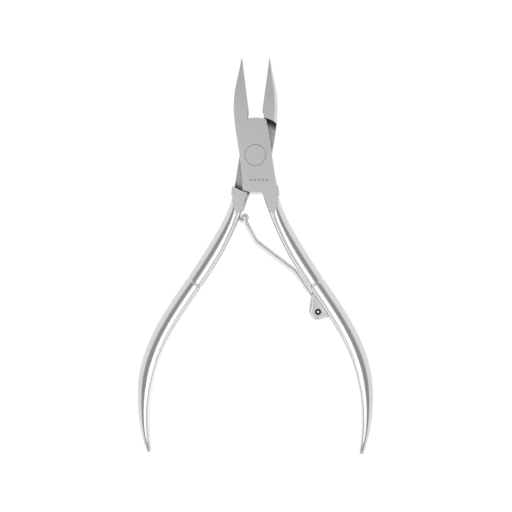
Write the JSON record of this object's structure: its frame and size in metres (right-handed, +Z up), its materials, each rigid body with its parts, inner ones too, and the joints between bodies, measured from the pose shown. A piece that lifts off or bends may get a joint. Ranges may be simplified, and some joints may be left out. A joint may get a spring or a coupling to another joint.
{
  "type": "cuticle nipper",
  "caption": "Lap-jointed hand nipper with straight pointed cutting jaws and half-round curved handles, opened by a bent leaf spring.",
  "frame": {"origin": "on the pivot axis, in the back face of the head, on which the tool lies", "axes": "+Y along the tool to the jaw tips, +Z up through the thickness to the front face, +X to the side of the handle that carries the spring lug"},
  "size_m": [0.0722, 0.1204, 0.008],
  "materials": {
    "satin_steel": "satin ground head, finely polished handles",
    "rivet_steel": "ground flush with the head",
    "spring_steel": "bright rolled strip",
    "pin_steel": "bright turned"
  },
  "bodies": {
    "front_half": {"front_lever": "satin_steel", "pivot_rivet": "rivet_steel", "spring_pin": "pin_steel"},
    "rear_half": {"rear_lever": "satin_steel"},
    "spring": {"spring_leaf": "spring_steel"}
  },
  "joints": [
    {"name": "main_pivot", "type": "hinge", "parent": "front_half", "child": "rear_half", "pos_m": [0, 0, 0.004], "axis": [0, 0, 1], "range_deg": [0, 15.9], "stiffness_Nm_per_rad": 1.2},
    {"name": "leaf_flex", "type": "hinge", "parent": "front_half", "child": "spring", "pos_m": [0.01201, -0.0351, 0.004], "axis": [0, 0, 1], "range_deg": [-18.6, 0], "deforming": ["spring_leaf"]}
  ],
  "couplings": [
    {"joint": "leaf_flex", "follows": "main_pivot", "ratio": -1.1672}
  ]
}
